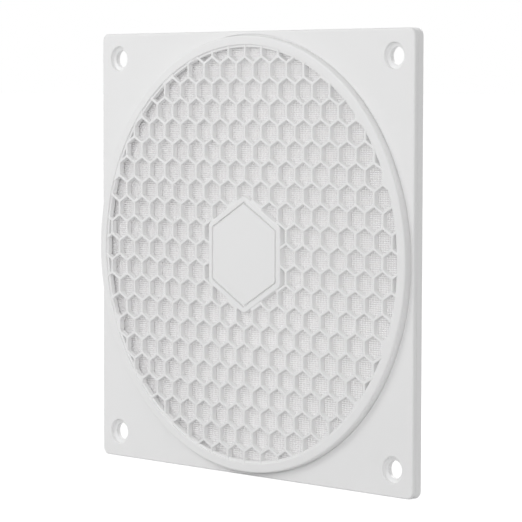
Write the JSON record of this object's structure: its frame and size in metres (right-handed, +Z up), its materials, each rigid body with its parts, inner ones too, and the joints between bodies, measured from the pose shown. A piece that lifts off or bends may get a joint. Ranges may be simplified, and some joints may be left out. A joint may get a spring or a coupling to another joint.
{
  "type": "fan dust filter",
  "caption": "Square moulded fan dust filter: round honeycomb grille with a blank six-sided centre plate, a woven net behind it and a rear clamping frame.",
  "frame": {"origin": "middle of the whole filter's box, on the fan's axis", "axes": "+X right as seen from the front, +Y through the filter towards the fan, +Z up"},
  "size_m": [0.119, 0.0054, 0.119],
  "materials": {
    "grille_plastic": "satin white moulding",
    "net_fabric": "fine woven nylon net",
    "frame_plastic": "satin white moulding"
  },
  "bodies": {
    "root": {"front_grille": "grille_plastic", "filter_net": "net_fabric", "rear_frame": "frame_plastic"}
  },
  "joints": []
}
